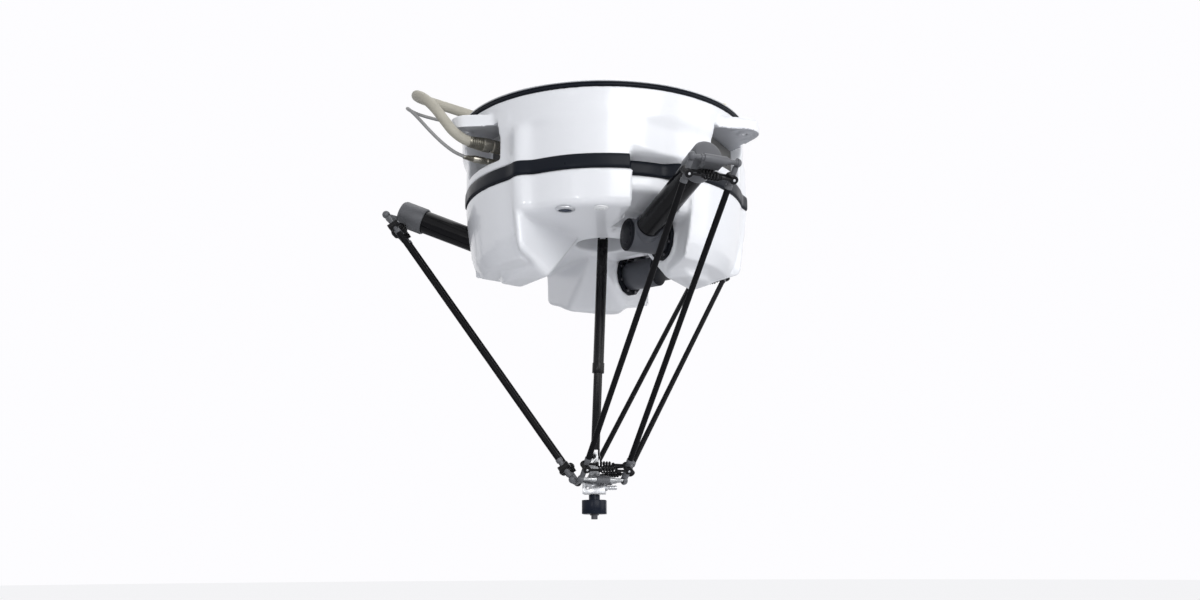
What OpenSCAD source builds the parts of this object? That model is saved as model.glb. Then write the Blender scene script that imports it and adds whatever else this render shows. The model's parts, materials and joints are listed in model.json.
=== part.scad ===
// Ceiling-mounted delta robot: a round housing with three geared motors, three
// upper arms, three pairs of rods and a small moving plate with a rotating tool.
// Millimetres. Origin: centre of the three mounting lugs, on the plane of their
// undersides. +Z up, -Y is the front. Arms point to 180, 300 and 60 degrees.

/* [Which piece] */

// piece to draw, or all

/* [Linkage] */

// distance from the centre to each motor axis
axis_r = 200; // [160:1:240]
// upper arm, motor axis to ball axis
arm_l = 350; // [290:1:420]
// rod, ball centre to ball centre
rod_l = 800; // [680:1:950]
// distance between the two rods of a pair
rod_gap = 106; // [92:1:128]
// distance from the plate's centre to its ball bars
plate_r = 45; // [40:1:54]
// height of the arm tube's centre above the ball axis at the elbow
tube_lift = 27; // [23:1:32]
// plate centre, sideways
plate_x = -24; // [-29:1:29]
// plate centre, front to back
plate_y = 2; // [-20:1:20]
// plate centre, below the motor axes
plate_drop = 543; // [500:1:640]
// depth of the motor axes below the mounting plane
axis_drop = 247; // [244:1:256]

/* [Housing] */

// outer radius of the housing wall
wall_r = 348; // [342:1:360]
// wall thickness of the housing
wall_t = 12; // [10:1:14]
// height of the upper ring's top edge above the motor axes
ring_top = 297; // [290:1:340]
// top of the rubber band above the motor axes
band_top = 143; // [140:1:150]
// bottom of the rubber band above the motor axes
band_low = 110; // [100:1:116]
// underside of the lower housing above the motor axes
floor_z = 28; // [26:1:32]
// lowest point of each motor lobe below the motor axes
lobe_drop = 96; // [90:1:115]
// radius of the band where it passes over an arm
notch_r = 300; // [292:1:304]
// lug bolt circle diameter
lug_pcd = 754; // [740:1:780]
// lug bolt hole
lug_hole = 13; // [11:0.5:15]
// second, smaller hole in each lug
lug_dowel = 8; // [6:0.5:10]

/* [Arms and rods] */

// hub radius around the motor axis
hub_r = 38; // [34:1:42]
// hub free end, sideways from the arm
hub_free = 33; // [30:1:40]
// arm tube outer diameter
tube_d = 57; // [48:1:60]
// arm tube wall
tube_wall = 3; // [2:0.5:4]
// elbow casting outer radius
elbow_r = 33; // [30:1:36]
// rod outer diameter
rod_d = 13.5; // [11:0.5:14.5]
// rod wall
rod_wall = 1.5; // [1:0.25:2.5]
// length of the fitting on each rod end
rod_fit_l = 58; // [50:1:66]
// ball diameter at the elbows
ball_up_d = 16; // [14:0.5:18]
// ball diameter at the plate
ball_low_d = 9.6; // [9:0.2:11]
// distance from the balls to the spring units along the rod
spring_at = 34; // [31:1:38]

/* [Tool] */

// telescopic shaft, outer tube diameter
shaft_d = 26; // [22:0.5:28]
// telescopic shaft, inner tube diameter
shaft_in_d = 21; // [18:0.5:22]
// swivel body diameter
swivel_d = 62; // [54:1:70]
// swivel body length
swivel_h = 32; // [27:1:38]
// tool nozzle diameter
nozzle_d = 15; // [12:0.5:18]

/* [Cables] */

// power cable diameter
power_d = 24; // [20:1:25]
// signal cable diameter
signal_d = 8; // [6:0.5:9]

/* [Fits] */

// running clearance on a radius
run = 0.05; // [0.02:0.01:0.1]
// clearance of the open lower ball pivots
open_low = 3.6; // [3.5:0.1:4.2]
// clearance of the lower universal joint
open_shaft = 3; // [2.8:0.1:3.4]
// clearance of the upper universal joint
open_yoke = 0.8; // [0.7:0.1:1.2]
// gap that keeps moving pieces off fixed ones
gap = 0.3; // [0.2:0.05:0.5]

/* [Hidden] */

// ---- colours
c_white = [0.93, 0.94, 0.95];
c_black = [0.05, 0.05, 0.055];
c_rubber = [0.07, 0.075, 0.085];
c_cast = [0.50, 0.51, 0.53];
c_hub = [0.36, 0.37, 0.39];
c_dark = [0.10, 0.105, 0.12];
c_steel = [0.72, 0.73, 0.75];
c_silver = [0.86, 0.87, 0.89];
c_cable = [0.66, 0.65, 0.60];

// ---- linkage geometry, for arm i = 0, 1, 2
leg_az = [180, 300, 60];
function dot2(a, b) = a[0]*b[0] + a[1]*b[1];
function leg_a(i) = dot2([plate_x, plate_y], [cos(leg_az[i]), sin(leg_az[i])]) + plate_r - axis_r;
function leg_t(i) = dot2([plate_x, plate_y], [-sin(leg_az[i]), cos(leg_az[i])]);
function rod_in(i) = sqrt(rod_l*rod_l - leg_t(i)*leg_t(i));
function reach(i) = sqrt(leg_a(i)*leg_a(i) + plate_drop*plate_drop);
// arm angle below the horizontal: where the arm circle and the rod sphere meet
function arm_a(i) = atan2(plate_drop, leg_a(i))
  - acos((reach(i)*reach(i) + arm_l*arm_l - rod_in(i)*rod_in(i)) / (2*arm_l*reach(i)));
// rod angle below the horizontal, in the arm's plane
function rod_a(i) = atan2(plate_drop - arm_l*sin(arm_a(i)), leg_a(i) - arm_l*cos(arm_a(i)));
function rod_lean(i) = asin(leg_t(i)/rod_l);
tube_a = atan2(tube_lift, arm_l);

// every module below draws in the motor-axis frame, axis_drop under the origin
module base() translate([0, 0, -axis_drop]) children();
// x outward, y towards the motor, z up
module leg(i) base() rotate([0, 0, leg_az[i]]) children();
// origin on the motor axis, x to the ball axis
module on_arm(i) leg(i) translate([axis_r, 0, 0]) rotate([0, arm_a(i), 0]) children();
// origin on the motor axis, x along the arm tube
module on_tube(i) on_arm(i) rotate([0, -tube_a, 0]) children();
// origin midway between the two upper balls, x down along the rods
module on_rods(i) on_arm(i) translate([arm_l, 0, 0]) rotate([0, rod_a(i) - arm_a(i), 0]) children();
module on_plate() base() translate([plate_x, plate_y, -plate_drop]) children();
module three() for (k = [0:2]) rotate([0, 0, 120*k]) children();
module sector(a0, a1, pts, fn = 180)
  rotate([0, 0, a0]) rotate_extrude(angle = a1 - a0, $fn = fn) polygon(pts);
module rod_y(r, y0, y1, fn = 48)
  translate([0, y0, 0]) rotate([-90, 0, 0]) cylinder(h = y1 - y0, r = r, $fn = fn);
module rod_x(r, x0, x1, fn = 48)
  translate([x0, 0, 0]) rotate([0, 90, 0]) cylinder(h = x1 - x0, r = r, $fn = fn);

// ---- housing sections
split_z = (band_top + band_low)/2;      // where the two housings meet, under the band
band_t = 12;                            // depth of the groove that the band fills
seat_r = wall_r - band_t;
in_r = wall_r - wall_t;
flange_in = notch_r - 12 - 26;          // inner radius of the bolted flange
notch_lo = -14;                         // arm notch, degrees from the arm
notch_hi = 7;
cheek = 1.6;                            // solid wall at each side of a notch
band_cheek = 1.1;                       // the band's part of it, in a groove of its own
groove_gap = 0.3;                       // room above and under the band there
shelf_in = flange_in - 22;              // inner radius of the shelf under the inner plate
floor_t = 8;
ceil_z = 76;                            // notch ceiling at its outer wall
pocket_w = 61;                          // hub pocket, towards the motor
port_r = 312;
well_r = 66;                            // well around the shaft's upper joint
lug_a = 217.2;                          // first lug
lug_t = 27;                             // lug thickness
lug_seat = 16;                          // flat ring round the bolt hole
drive_z = 62;                           // centre of the upper universal joint

// Both housings are full rings. Between the arms they are hollowed from inside, and at
// each arm a notch is cut from outside; a solid cheek stays at each side of a notch.
// Radius and height pairs.
ring_pts = [[seat_r, split_z], [seat_r, band_top], [wall_r, band_top], [wall_r + 1, ring_top - 22],
  [wall_r + 4, ring_top - 6], [wall_r + 4, ring_top], [wall_r - 10, ring_top], [in_r - 1, ring_top - 12],
  [in_r - 3, ring_top - 50], [notch_r - 10, band_top + 13], [flange_in, band_top + 9], [flange_in, split_z]];
ring_hollow = [[flange_in - 10, split_z - 1], [notch_r, split_z - 1], [notch_r, band_top + 9],
  [in_r, band_top + 9], [in_r - 1.5, ring_top - 4], [flange_in - 10, ring_top - 4]];
ring_notch = [[notch_r, split_z - 1], [notch_r, band_top], [notch_r + 4, band_top + 6], [wall_r - 5, ring_top - 60], [wall_r - 1, ring_top - 42],
  [wall_r + 2, ring_top - 22], [wall_r + 30, ring_top - 22], [wall_r + 30, split_z - 1]];
function groove(z0, z1) = [[notch_r - 10, z0], [wall_r + 30, z0], [wall_r + 30, z1], [notch_r - 10, z1]];
draft = 6;                              // how much the wall comes in from the band to the floor
low_r = wall_r - draft;
in_z = floor_z + floor_t;               // top of the floor
low_pts = [[well_r - 1, floor_z], [low_r - 16, floor_z], [low_r - 7, floor_z + 4], [low_r - 1, floor_z + 12],
  [low_r, floor_z + 24], [wall_r, band_low], [seat_r, band_low], [seat_r, split_z], [shelf_in, split_z],
  [shelf_in, split_z - 12], [110, in_z + 2], [well_r + 6, in_z + 2], [well_r + 6, split_z], [well_r - 1, split_z]];
low_hollow = [[notch_r, split_z + 1], [notch_r, split_z - 12], [in_r - 1, split_z - 22],
  [low_r - wall_t, floor_z + 20], [low_r - 22, in_z], [well_r + 9, in_z], [well_r + 9, split_z + 1]];
low_slope = [notch_r - 122, ceil_z - 3 - floor_z]/10;
low_notch = [[110, floor_z] - low_slope, [notch_r - 12, ceil_z - 3], [notch_r - 2, ceil_z + 2],
  [notch_r, ceil_z + 10], [notch_r, split_z + 1], [wall_r + 30, split_z + 1], [wall_r + 30, floor_z - low_slope[1]]];
low_behind = [[notch_r - 22, split_z - 12], [notch_r - 12, split_z - 20], [notch_r - 12, ceil_z + 12],
  [notch_r - 20, ceil_z + 5], [104, in_z + 5], [104, split_z - 12]];
module round_housing(section, hollow, side, notches) difference() {
  sector(0, 360, section);
  three() {
    sector(180 + notch_hi + side, 300 + notch_lo - side, hollow);
    for (n = notches) sector(180 + notch_lo, 180 + notch_hi, n);
  }
}
// groove for the band round a notch
module band_groove(z0, z1) three()
  sector(180 + notch_lo - band_cheek, 180 + notch_hi + band_cheek, groove(z0, z1));

// lug outline, seen from above: x outward, straight sides tangent to the tip
lug_c = lug_pcd/2 - 9;
lug_r = 43;
lug_foot = [wall_r - 40, 94];
lug_d = [lug_foot[0] - lug_c, lug_foot[1]];
lug_tan = atan2(lug_d[1], lug_d[0]) - acos(lug_r/norm(lug_d));
module lug_shape(grow = 0) {
  translate([lug_c, 0]) circle(r = lug_r + grow, $fn = 96);
  t = [lug_c + (lug_r + grow)*cos(lug_tan), (lug_r + grow)*sin(lug_tan)];
  f = lug_foot + grow*[cos(lug_tan), sin(lug_tan)];
  polygon([t, f, [f[0], -f[1]], [t[0], -t[1]]]);
}
module lug_body() difference() {
  union() {
    translate([0, 0, axis_drop]) linear_extrude(lug_t) lug_shape();
    translate([0, 0, axis_drop + lug_t]) linear_extrude(3) lug_shape(-3);
  }
  translate([0, 0, axis_drop - 1]) linear_extrude(14) difference() {
    lug_shape(-7);
    translate([lug_pcd/2, 0]) circle(r = lug_seat, $fn = 48);
    translate([lug_pcd/2 + 3, 30]) circle(r = lug_dowel/2 + 6, $fn = 48);
    for (y = [-34, 34]) translate([300, y - 2.5]) square([150, 5]);
  }
  cylinder(h = 2*axis_drop, r = in_r, $fn = 180);
}
pocket = [268, 172, 97];                // inner radius, width, height
pocket_z = 165;
pocket_out = wall_r + 8;                // the pocket stops short of the bolt hole's seat

module housing_ring() color(c_white) base() difference() {
  union() {
    round_housing(ring_pts, ring_hollow, cheek, [ring_notch]);
    three() {
      rotate([0, 0, lug_a]) lug_body();
      rotate([0, 0, lug_a]) intersection() {
        translate([pocket[0] - 6, -pocket[1]/2 - 6, pocket_z - 6]) cube([100, pocket[1] + 12, pocket[2] + 12]);
        cylinder(h = ring_top, r = wall_r - 1, $fn = 180);
      }
    }
  }
  three() rotate([0, 0, lug_a]) {
    translate([pocket[0], -pocket[1]/2, pocket_z]) cube([pocket_out - pocket[0], pocket[1], pocket[2]]);
    translate([lug_pcd/2, 0, axis_drop - 20]) cylinder(h = 60, d = lug_hole, $fn = 48);
    translate([lug_pcd/2 + 3, 30, axis_drop - 20]) cylinder(h = 60, d = lug_dowel, $fn = 36);
  }
  band_groove(split_z - 1, band_top + groove_gap);
  bolt_holes(flange_in + 14, split_z - 1, band_top + 14);
  // spot faces under the bolt heads
  for (a = shelf_az) rotate([0, 0, a]) translate([flange_in + 14, 0, band_top + 9]) cylinder(h = 12, r = 7.5, $fn = 32);
  // shallow recessed panel between two lobes
  three() sector(180 + 62, 300 + notch_lo + 0.3, [[wall_r - 4, band_top - 20], [wall_r + 40, band_top - 20],
    [wall_r + 40, ring_top - 30], [wall_r + 2, ring_top - 30], [wall_r - 4, ring_top - 74]]);
}

// ---- lower housing with its three hollow motor lobes
// outline where a lobe meets the floor: corner centres and radii
lobe_top = [[62, 74, 10], [270, 84, 20], [272, 160, 20], [232, 232, 16], [168, 279, 18]];
// lower corners: centres, radii and heights of the centres
lobe_low = [[192, 86, 20, 25 - lobe_drop], [122, 180, 20, 23 - lobe_drop], [238, 128, 20, 26 - lobe_drop],
  [262, 92, 18, -40], [254, 180, 24, -44], [210, 230, 26, -38], [164, 271, 20, -40]];
lobe_end = 61;                          // where a lobe's outer wall ends, degrees from its arm
module lobe(d = 0, up = 2) hull() {
  for (p = lobe_top) translate([p[0], p[1], floor_z + 1]) cylinder(h = up, r = p[2] - d, $fn = 32);
  for (p = lobe_low) translate([p[0], p[1], p[3]]) sphere(r = p[2] - d, $fn = 24);
  // flush with the wall under the band
  translate([0, 0, band_low - 2]) linear_extrude(2) polygon(concat(
    [for (a = [notch_hi + 3 + d/6:3:lobe_end]) (wall_r + 0.8 - d)*[cos(a), sin(a)]], [[200, 250], [250, 80]]));
}
boss_r = 58;
module lower_housing() color(c_white) base() difference() {
  union() {
    difference() {
      union() {
        round_housing(low_pts, low_hollow, cheek, [low_notch, low_behind]);
        for (k = [0:2]) rotate([0, 0, 180 + 120*k]) lobe();
      }
      // the lobes are hollow up to the flange under the band
      difference() {
        for (k = [0:2]) rotate([0, 0, 180 + 120*k]) lobe(7, 90);
        sector(0, 360, [[notch_r + 2, band_low - 12], [wall_r + 30, band_low - 12],
          [wall_r + 30, split_z + 40], [notch_r + 2, split_z + 40]]);
      }
    }
    three() rotate([0, 0, 180]) {
      translate([axis_r, 0, 0]) rod_y(boss_r, pocket_w, face, 72);
      // roof of the hub pocket, up to where the notch's slope is higher
      translate([axis_r - 60, -55, floor_z + 1]) cube([80, pocket_w + 62, 33]);
    }
  }
  three() rotate([0, 0, 180]) {
    translate([axis_r - 52, -47, -60]) cube([106, pocket_w + 47, 60 + floor_z + 26]);
    translate([axis_r, 0, 0]) rod_y(44, pocket_w - 1, pocket_w + 40, 72);
  }
  band_groove(band_low - groove_gap, split_z + 1);
  bolt_holes(shelf_in + 10, split_z - bolt_deep, split_z + 1);
  bolt_holes(flange_in + 14, split_z - bolt_deep, split_z + 1);
}

// rubber band that covers the joint between the two housings
function band_pts(i, w) = [[i, band_low], [w + 1.5, band_low], [w + 2, band_low + 3], [w + 2, band_top - 3],
  [w + 1.5, band_top], [i, band_top]];
band_notch = [[notch_r + 1.5, band_low - 1], [notch_r + 1.5, band_low], [notch_r + 2, band_low + 3],
  [notch_r + 2, band_top - 3], [notch_r + 1.5, band_top], [notch_r + 1.5, band_top + 1],
  [wall_r + 10, band_top + 1], [wall_r + 10, band_low - 1]];
band_hollow = [[notch_r - 12, band_low - 1], [seat_r, band_low - 1], [seat_r, band_top + 1],
  [notch_r - 12, band_top + 1]];
module band_seal() color(c_rubber) base()
  round_housing(band_pts(notch_r - 10, wall_r), band_hollow, band_cheek, [band_notch]);

clamp_az = [91, 211, 331];              // where the lid is screwed down
module lid_seal() color(c_rubber) base() sector(0, 360, [[wall_r - 10, ring_top], [wall_r + 5, ring_top],
  [wall_r + 7, ring_top + 3], [wall_r + 7, ring_top + 7], [wall_r + 5, ring_top + 10], [wall_r - 10, ring_top + 10]]);
module lid() color(c_silver) base() difference() {
  sector(0, 360, [[0, ring_top + 10], [wall_r + 5, ring_top + 10], [wall_r + 6, ring_top + 12],
    [wall_r + 4, ring_top + 14], [wall_r - 20, ring_top + 15], [0, ring_top + 15]]);
  for (a = clamp_az) rotate([0, 0, a]) translate([wall_r - 4, 0, 0]) cylinder(h = ring_top + 30, r = 3.3, $fn = 32);
}
module lid_screws() color([0.62, 0.58, 0.36]) base() for (a = clamp_az) rotate([0, 0, a])
  translate([wall_r - 4, 0, 0]) {
    translate([0, 0, ring_top + 15.2]) cylinder(h = 5, r = 6, $fn = 6);
    translate([0, 0, ring_top + 10]) cylinder(h = 6, r = 3.2, $fn = 32);
  }

// plate inside the housing that the shaft's drive stands on, screwed to the shelf
shelf_az = [for (k = [0:2], a = [notch_lo + 3, notch_hi - 3]) 60 + 120*k + a];
plate_z = split_z + 8;                  // top of the inner plate
module inner_plate() color(c_cast) base() difference() {
  translate([0, 0, split_z]) cylinder(h = plate_z - split_z, r = flange_in - 0.5, $fn = 180);
  translate([0, 0, split_z - 1]) cylinder(h = 10, r = 36, $fn = 72);
  bolt_holes(shelf_in + 10, split_z - 1, plate_z + 1);
  three() for (a = [-60, -20, 20]) rotate([0, 0, a]) translate([150, 0, split_z - 1]) cylinder(h = 10, r = 24, $fn = 72);
}
// screws that hold the two housings together, and the inner plate to the shelf
bolt_r = 4.15;
bolt_deep = 10;
module bolt_holes(r, z0, z1) for (a = shelf_az) rotate([0, 0, a]) translate([r, 0, z0])
  cylinder(h = z1 - z0, r = bolt_r + run, $fn = 32);
module housing_bolts() color(c_steel) base() for (a = shelf_az, b = [[shelf_in + 10, plate_z], [flange_in + 14, band_top + 9]])
  rotate([0, 0, a]) translate([b[0], 0, split_z - bolt_deep]) {
    cylinder(h = b[1] - split_z + bolt_deep + 1, r = bolt_r, $fn = 32);
    translate([0, 0, b[1] - split_z + bolt_deep]) cylinder(h = 8, r = 6.5, $fn = 32);
  }

// sight port and plug in the floor of the front section
module port_ring() color([0.9, 0.9, 0.9]) base() rotate([0, 0, 260]) translate([port_r, 0, floor_z])
  difference() {
    translate([0, 0, -2.5]) cylinder(h = 2.5, r = 15, $fn = 64);
    translate([0, 0, -3]) cylinder(h = 4, r = 12 + run, $fn = 64);
  }
module port_glass() color([0.05, 0.09, 0.16]) base() rotate([0, 0, 260]) translate([port_r, 0, floor_z - 1.5])
  cylinder(h = 1.5, r = 12, $fn = 64);
module port_plug() color([0.95, 0.95, 0.95]) base() rotate([0, 0, 274.5]) translate([port_r, 0, floor_z]) {
  translate([0, 0, -4]) cylinder(h = 4, r = 11, $fn = 64);
  translate([0, 0, -6]) cylinder(h = 2, r = 8, $fn = 64);
}

// ---- cable sockets in the pocket under the first lug
module at_pocket() base() rotate([0, 0, lug_a]) children();
power_at = [pocket[0], 20, pocket_z + 53];
signal_at = [pocket[0], -6, pocket_z + 24];
power_out = 76;                         // how far each socket stands out of the panel
signal_out = 86;
socket_bore = 18;                       // how deep a cable goes into its socket
module socket_panel() color(c_cast) {
  at_pocket() difference() {
    translate([pocket[0], -66, pocket_z + 2]) cube([4, 140, 74]);
    for (p = [[power_at, 14], [signal_at, 7]]) translate([p[0][0], p[0][1], p[0][2]]) rod_x(p[1] + run, -1, 6, 48);
  }
  // blank panels in the other two pockets, each with two screws
  for (a = [120, 240]) base() rotate([0, 0, lug_a + a]) {
    translate([pocket[0] + 40, -66, pocket_z + 2]) cube([4, 140, 74]);
    for (y = [-50, 50]) translate([pocket[0], y - 4, pocket_z + 20]) cube([40, 8, 12]);
    for (z = [20, 32]) translate([pocket[0] + 44, 40, pocket_z + z]) rod_x(4, 0, 3, 24);
  }
}
module power_socket() color(c_steel) at_pocket() translate(power_at) difference() {
  union() {
    rod_x(14, 0, 30, 48);
    rod_x(17, 4, 9, 6);
    rod_x(16, 18, 38, 48);
    rod_x(15, 38, power_out - 14, 48);
    rod_x(16.5, power_out - 14, power_out, 48);
  }
  rod_x(power_d/2 + run, power_out - socket_bore, power_out + 1, 48);
}
module signal_socket() color(c_steel) at_pocket() translate(signal_at) difference() {
  union() {
    rod_x(7, 0, 30, 36);
    rod_x(9, 4, 8, 6);
    rod_x(8.5, 26, signal_out - 16, 36);
    rod_x(7.5, signal_out - 16, signal_out, 36);
  }
  rod_x(signal_d/2 + run, signal_out - socket_bore, signal_out + 1, 36);
}

// ---- drives: gearbox and motor on each motor axis, inside the lobe
face = pocket_w + 15;                   // inside face of the lobe's boss wall
out_r = 30;                             // output spigot of the hub
module gearboxes() color(c_cast) for (i = [0:2]) leg(i) translate([axis_r, 0, 0]) difference() {
  union() {
    rod_y(44 - run, pocket_w, face, 72);
    rod_y(54, face, face + 46, 72);
  }
  rod_y(out_r + run, pocket_w - 1, face + 10, 72);
}
module motor(i) color(c_dark) leg(i) translate([axis_r, 0, 0]) {
  rod_y(40, face + 46, face + 142, 72);
  translate([-24, face + 60, 38]) cube([48, 50, 16]);
}
module flange_rings() color(c_dark) for (i = [0:2]) leg(i) translate([axis_r, 0, 0]) difference() {
  rod_y(52, pocket_w - 8, pocket_w, 12);
  rod_y(hub_r + 1.5, pocket_w - 9, pocket_w + 1, 72);
  for (a = [0:45:315]) rotate([0, a + 22.5, 0]) translate([45, 0, 0]) rod_y(2.6, pocket_w - 9, pocket_w + 1, 24);
}
module flange_bolts() color(c_steel) for (i = [0:2]) leg(i) translate([axis_r, 0, 0])
  for (a = [0:45:315]) rotate([0, a + 22.5, 0]) translate([45, 0, 0]) {
    rod_y(4.2, pocket_w - 12, pocket_w - 8, 24);
    rod_y(2.5, pocket_w - 8, pocket_w, 24);
  }

// ---- arms
collar_l = 46;
cap_t = 1.4;                            // thickness of the cap on a hub's free end
module hub(i) color(c_hub) difference() {
  union() {
    on_arm(i) {
      rod_y(hub_r, -hub_free + cap_t, pocket_w - gap, 72);
      rod_y(out_r, pocket_w - 1, face + 8, 72);
    }
    on_tube(i) rod_x(tube_d/2 + 3, 0, collar_l, 72);
  }
  on_tube(i) rod_x(tube_d/2 + run, 28, collar_l + 1, 72);
}
module hub_cap(i) color(c_dark) on_arm(i) {
  rod_y(hub_r - 0.6, -hub_free, -hub_free + cap_t, 72);
  rod_y(hub_r - 6, -hub_free - 1.2, -hub_free, 72);
}
tube_end = arm_l - 62;
elbow_end = arm_l - 15;
module arm_tube(i) color(c_black) on_tube(i) difference() {
  rod_x(tube_d/2, 28, tube_end, 72);
  rod_x(tube_d/2 - tube_wall, 27, tube_end + 1, 72);
}
bar_r = 5;
spring_r = 7.5;                         // outer radius of a spring's bellows
spring_z = spring_r + 4;                // height of the two springs off the rods
swing = norm([spring_at, spring_z]);    // radius on which they swing about the balls
module elbow(i) color(c_cast) {
  difference() {
    union() {
      on_tube(i) {
        translate([tube_end - 20, 0, 0]) rotate([0, 90, 0]) rotate_extrude($fn = 72)
          polygon([[0, 0], [elbow_r - 1.5, 0], [elbow_r, 3], [elbow_r, elbow_end - tube_end + 12],
            [elbow_r - 3, elbow_end - tube_end + 17.5], [elbow_r - 9, elbow_end - tube_end + 20],
            [0, elbow_end - tube_end + 20]]);
      }
      on_arm(i) {
        translate([arm_l - 40, -21, -9]) cube([40, 42, 20]);
        translate([arm_l, 0, 0]) rod_y(9.5, -27, 27, 48);
      }
    }
    on_tube(i) rod_x(tube_d/2 + run, tube_end - 30, tube_end, 72);
    // groove that lets the springs swing past
    on_arm(i) translate([arm_l, 0, 0]) intersection() {
      difference() {
        rod_y(swing + spring_r + 1, -elbow_r - 8, elbow_r + 8, 72);
        rod_y(swing - spring_r - 1, -elbow_r - 9, elbow_r + 9, 72);
      }
      translate([-90, -elbow_r - 8, -92]) cube([90, 2*elbow_r + 16, 90]);
    }
  }
  on_arm(i) translate([arm_l, 0, 0]) {
    rod_y(bar_r, -rod_gap/2, rod_gap/2, 48);
    for (s = [-1, 1]) {
      translate([0, s*rod_gap/2, 0]) sphere(d = ball_up_d, $fn = 48);
      scale([1, s, 1]) rod_y(bar_r + 2, 27, 33, 48);
    }
  }
}

// ---- rods: tubes, ball sockets and the springs that hold each pair together
module pair(i) on_rods(i) for (s = [-1, 1]) translate([0, s*rod_gap/2, 0])
  rotate([0, 0, rod_lean(i)]) scale([1, s, 1]) children();
fit_seat = 18;                          // how deep a fitting sits in the rod
module rods(i) color(c_black) pair(i) difference() {
  rod_x(rod_d/2, rod_fit_l, rod_l - rod_fit_l, 32);
  rod_x(rod_d/2 - rod_wall, rod_fit_l - 1, rod_l - rod_fit_l + 1, 32);
}
// socket that opens inward, -y here, towards the other rod of its pair
cup_open = 1.5;                         // how far the socket reaches past the ball's middle
module cup(d, clear, wall) rotate([-90, 0, 0]) rotate_extrude($fn = 60) {
  r = d/2 + clear;
  c = r/cos(90/16);
  polygon(concat([[0, c], [0, r + wall/2]],
    [for (a = [80:-10:0]) let (q = [(r + wall)*cos(a), (r + wall)*sin(a)]) [q[0], min(q[1], r + wall/2)]],
    [[r + wall, -cup_open], [c*cos(asin(cup_open/c)), -cup_open]],
    [for (k = [0:15]) c*[cos(90*(k + 0.5)/16), sin(90*(k + 0.5)/16)]]));
}
cup_wall_up = 1.6;
cup_wall_low = 1.2;
module fitting(d, clear, wall) {
  r = d/2 + clear;
  cup(d, clear, wall);
  rod_x(min(6.2, r*0.75), r + 0.4, rod_fit_l, 32);
  rod_x(rod_d/2 - rod_wall - run, rod_fit_l, rod_fit_l + fit_seat, 32);
  rod_x(8, rod_fit_l - 8, rod_fit_l, 32);
  translate([spring_at, 0, 0]) cylinder(h = 26, r = 2.4, center = true, $fn = 24);
}
module rod_ends(i) color(c_cast) pair(i) {
  fitting(ball_up_d, run, cup_wall_up);
  translate([rod_l, 0, 0]) mirror([1, 0, 0]) fitting(ball_low_d, open_low, cup_wall_low);
}
coils = 5;
module spring_unit(lean) {
  for (s = [-1, 1]) translate([0, s*rod_gap/2, 0]) rotate([0, 0, lean]) difference() {
    cylinder(h = 27, r = 9, center = true, $fn = 24);
    cylinder(h = 40, r = 2.4 + run, center = true, $fn = 24);
    rod_x(8 + run, -20, 20, 32);
  }
  for (z = [-1, 1]) translate([0, 0, z*spring_z]) {
    rod_y(3, -rod_gap/2 + 8, rod_gap/2 - 8, 16);
    for (k = [0:coils - 1]) rod_y(spring_r, (k - coils/2)*8 + 1.2, (k - coils/2)*8 + 6.8, 24);
  }
}
module springs(i) color(c_black) on_rods(i)
  for (x = [spring_at, rod_l - spring_at])
    translate([x*cos(rod_lean(i)), x*sin(rod_lean(i)), 0]) spring_unit(rod_lean(i));

// ---- moving plate
plate_t = 10;
module ball_bars() color(c_steel) on_plate() for (a = leg_az) rotate([0, 0, a]) translate([plate_r, 0, 0]) {
  rod_y(4, -rod_gap/2, rod_gap/2, 36);
  rod_y(6, -30, 30, 36);
  for (s = [-1, 1]) translate([0, s*rod_gap/2, 0]) sphere(d = ball_low_d, $fn = 36);
}
module plate() color(c_cast) on_plate() difference() {
  union() {
    translate([0, 0, -plate_t/2]) cylinder(h = plate_t, r = 30, $fn = 72);
    for (a = leg_az) rotate([0, 0, a]) {
      translate([0, -13, -plate_t/2]) cube([plate_r, 26, plate_t]);
      translate([plate_r, 0, 0]) rod_y(9, -16, 16, 48);
    }
  }
  for (a = leg_az) rotate([0, 0, a]) translate([plate_r, 0, 0]) rod_y(6 + run, -31, 31, 36);
  translate([0, 0, -20]) cylinder(h = 40, r = 9 + run, $fn = 48);
}
block = [52, 40, 26];
module plate_block() color(c_silver) on_plate() difference() {
  translate([-block[0]/2, -block[1]/2, -plate_t/2 - block[2]]) cube(block);
  translate([0, 0, -60]) cylinder(h = 60, r = 9 + run, $fn = 48);
  translate([-block[0]/2 + 10.5, 0, -plate_t/2 - block[2]*0.45]) rod_y(4, -21, 21, 36);
  translate([0, 0, -plate_t/2 - block[2]*0.45]) rod_x(5, 15, 40, 36);
}
module hose_barb() color(c_silver) on_plate() translate([block[0]/2, 0, -plate_t/2 - block[2]*0.45]) difference() {
  union() {
    rod_x(5 - run, -8, 0, 36);
    rod_x(7, 0, 5, 6);
    rod_x(4.5, 5, 24, 36);
    for (x = [10, 16, 22]) translate([x, 0, 0]) rotate([0, 90, 0]) cylinder(h = 5, r1 = 5.6, r2 = 4.4, $fn = 36);
  }
  rod_x(3, -9, 30, 36);
}

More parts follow.
